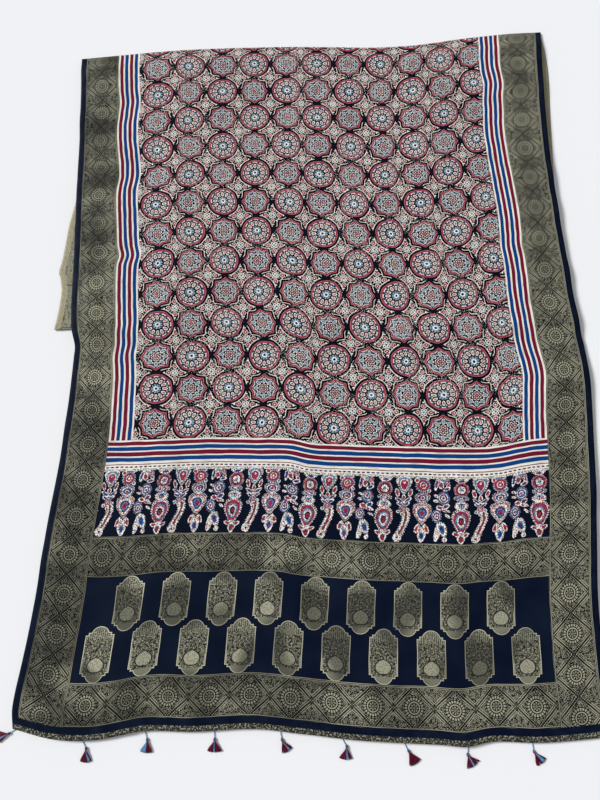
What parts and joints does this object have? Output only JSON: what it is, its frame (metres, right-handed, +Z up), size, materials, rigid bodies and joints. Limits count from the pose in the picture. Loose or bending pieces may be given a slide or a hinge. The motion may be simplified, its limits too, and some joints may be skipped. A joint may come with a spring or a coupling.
{
  "type": "ajrakh cloth",
  "caption": "Long block-printed silk shawl with woven gold borders, laid out face up with its far half turned under, small tassels along the near hem.",
  "frame": {"origin": "middle of the laid-out plan, on the surface the cloth lies on", "axes": "+Z up from the surface, -Y towards the hem with the tassels, +X to the right seen from above with that hem nearest"},
  "size_m": [1.1804, 1.6067, 0.0106],
  "materials": {
    "printed_silk": "soft silk, block printed in madder red, indigo and cream on black-navy, with dull gold brocade borders and a navy end",
    "tassel_yarn": "maroon silk yarn with light blue threads, soft sheen"
  },
  "bodies": {
    "root": {"cloth": "printed_silk", "tassel_01": "tassel_yarn", "tassel_02": "tassel_yarn", "tassel_03": "tassel_yarn", "tassel_04": "tassel_yarn", "tassel_05": "tassel_yarn", "tassel_06": "tassel_yarn", "tassel_07": "tassel_yarn", "tassel_08": "tassel_yarn", "tassel_09": "tassel_yarn", "tassel_10": "tassel_yarn"}
  },
  "joints": []
}
